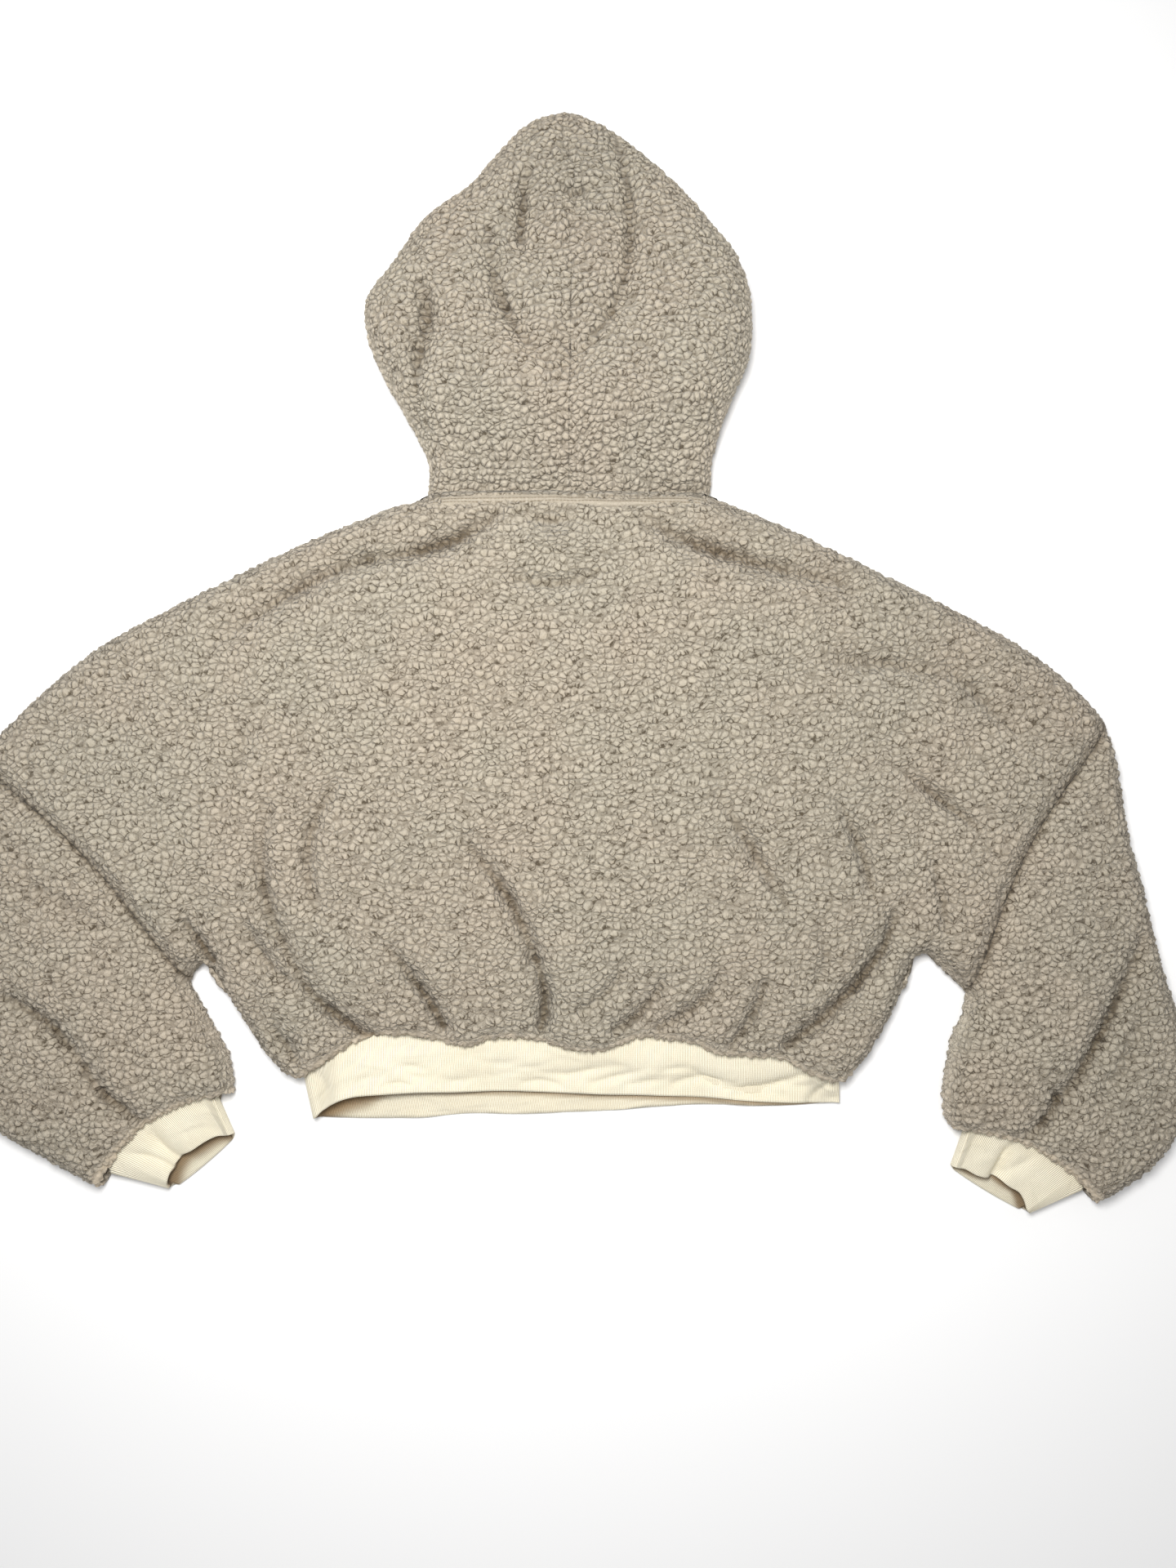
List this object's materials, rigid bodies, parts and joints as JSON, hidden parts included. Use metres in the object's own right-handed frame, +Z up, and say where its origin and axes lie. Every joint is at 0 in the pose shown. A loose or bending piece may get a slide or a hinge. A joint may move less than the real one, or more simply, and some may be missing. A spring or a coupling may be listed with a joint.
{
  "type": "hooded fleece pullover laid flat",
  "caption": "Cropped, wide hooded pullover of curly pile fleece with a rib hem band and rib cuffs, laid back up with its sleeves folded down.",
  "frame": {"origin": "middle of the garment's footprint, on the surface it lies on", "axes": "+X to the wearer's right, +Y from hem to hood, +Z up from the table, out of the back of the garment"},
  "size_m": [0.9054, 0.79, 0.0579],
  "materials": {
    "fleece": "curly pile, matte, warm grey beige",
    "rib": "fine rib knit, matte, cream"
  },
  "bodies": {
    "root": {"back_panel": "fleece", "cuff_left": "rib", "cuff_right": "rib", "front_panel": "fleece", "hood_left": "fleece", "hood_right": "fleece", "neck_tape": "fleece", "sleeve_left": "fleece", "sleeve_right": "fleece", "waistband": "rib"}
  },
  "joints": []
}
